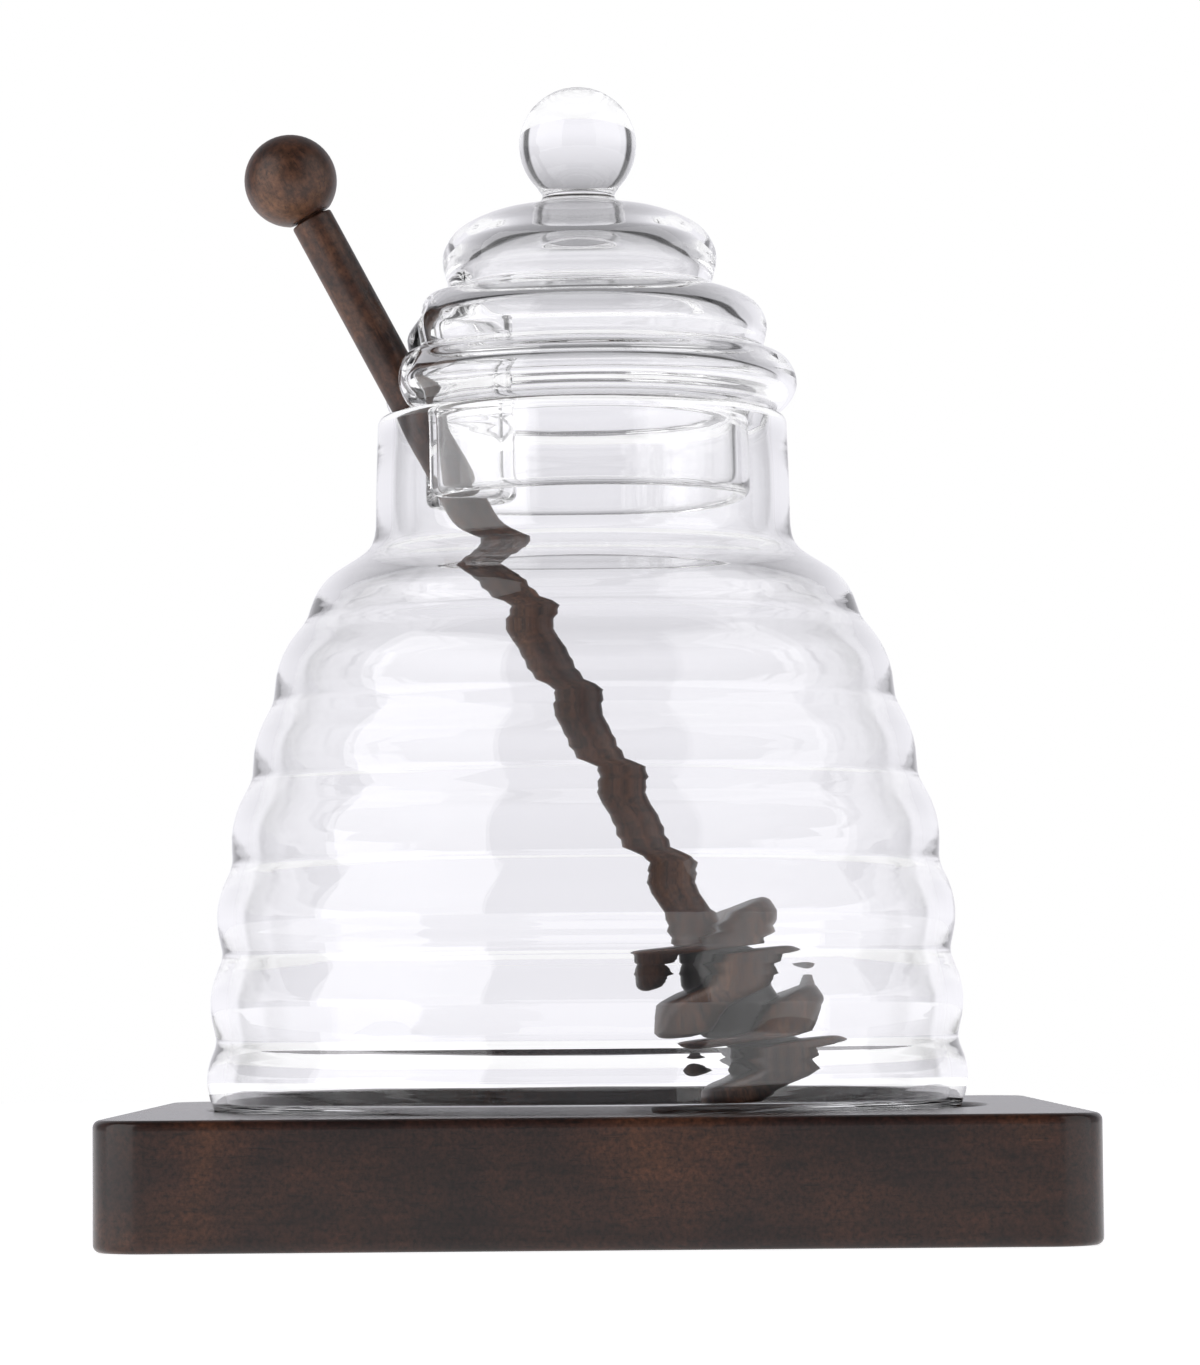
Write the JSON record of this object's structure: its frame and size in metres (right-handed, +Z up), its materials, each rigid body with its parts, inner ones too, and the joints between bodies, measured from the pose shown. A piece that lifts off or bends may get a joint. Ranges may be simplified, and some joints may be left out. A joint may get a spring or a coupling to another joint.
{
  "type": "honey jar",
  "caption": "Empty clear glass beehive honey jar with a ringed wall and a notched, ball-knobbed glass lid, a dark wooden honey dipper leaning in it, on a square wooden base.",
  "frame": {"origin": "centre of the base's underside, which stands on the table", "axes": "+Z up; -Y the front, as pictured; the dipper's ball leans out to -X"},
  "size_m": [0.13, 0.13, 0.161],
  "materials": {
    "clear_glass": "clear, polished",
    "base_wood": "dark walnut stain, satin lacquer",
    "dipper_wood": "dark walnut stain, satin lacquer"
  },
  "bodies": {
    "root": {"base": "base_wood", "jar": "clear_glass", "lid": "clear_glass", "dipper_stick": "dipper_wood", "dipper_ball": "dipper_wood"}
  },
  "joints": []
}
